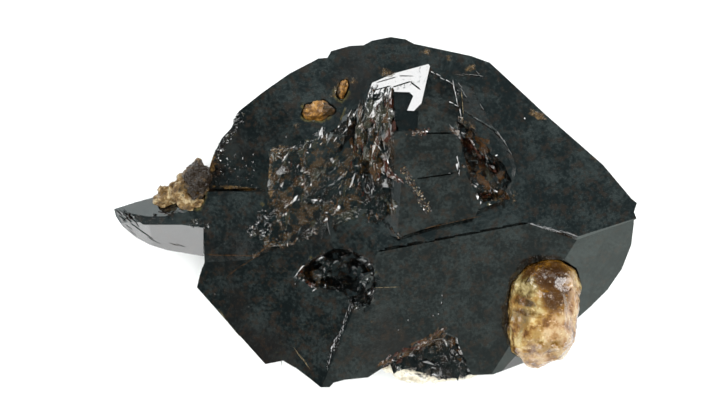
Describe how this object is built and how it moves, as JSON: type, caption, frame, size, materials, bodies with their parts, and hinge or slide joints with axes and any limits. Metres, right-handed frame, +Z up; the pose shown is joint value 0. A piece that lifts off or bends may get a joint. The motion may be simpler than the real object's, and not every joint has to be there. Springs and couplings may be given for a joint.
{
  "type": "titanite crystal group with fluorapatite",
  "caption": "Dark envelope-shaped titanite crystals grown together, with a stout golden fluorapatite crystal, lying on a flat cut back.",
  "frame": {"origin": "middle of the group's plan, on the flat cut that it rests on", "axes": "+Z up, out of the crystals' front; +X along the ridge from the blade towards the apatite; +Y towards the large upper face"},
  "size_m": [0.0698, 0.0466, 0.0264],
  "materials": {
    "titanite": "glassy, nearly black, brown on thin and broken edges",
    "fluorapatite": "golden brown to pinkish, waxy to glassy, slightly see-through",
    "calcite": "cream, dull",
    "brown_lump": "granular, rusty brown",
    "orange_grain": "earthy orange"
  },
  "bodies": {
    "root": {"titanite": "titanite", "fluorapatite": "fluorapatite", "calcite": "calcite", "brown_lump": "brown_lump", "orange_grain": "orange_grain", "small_orange_grain": "orange_grain"}
  },
  "joints": []
}
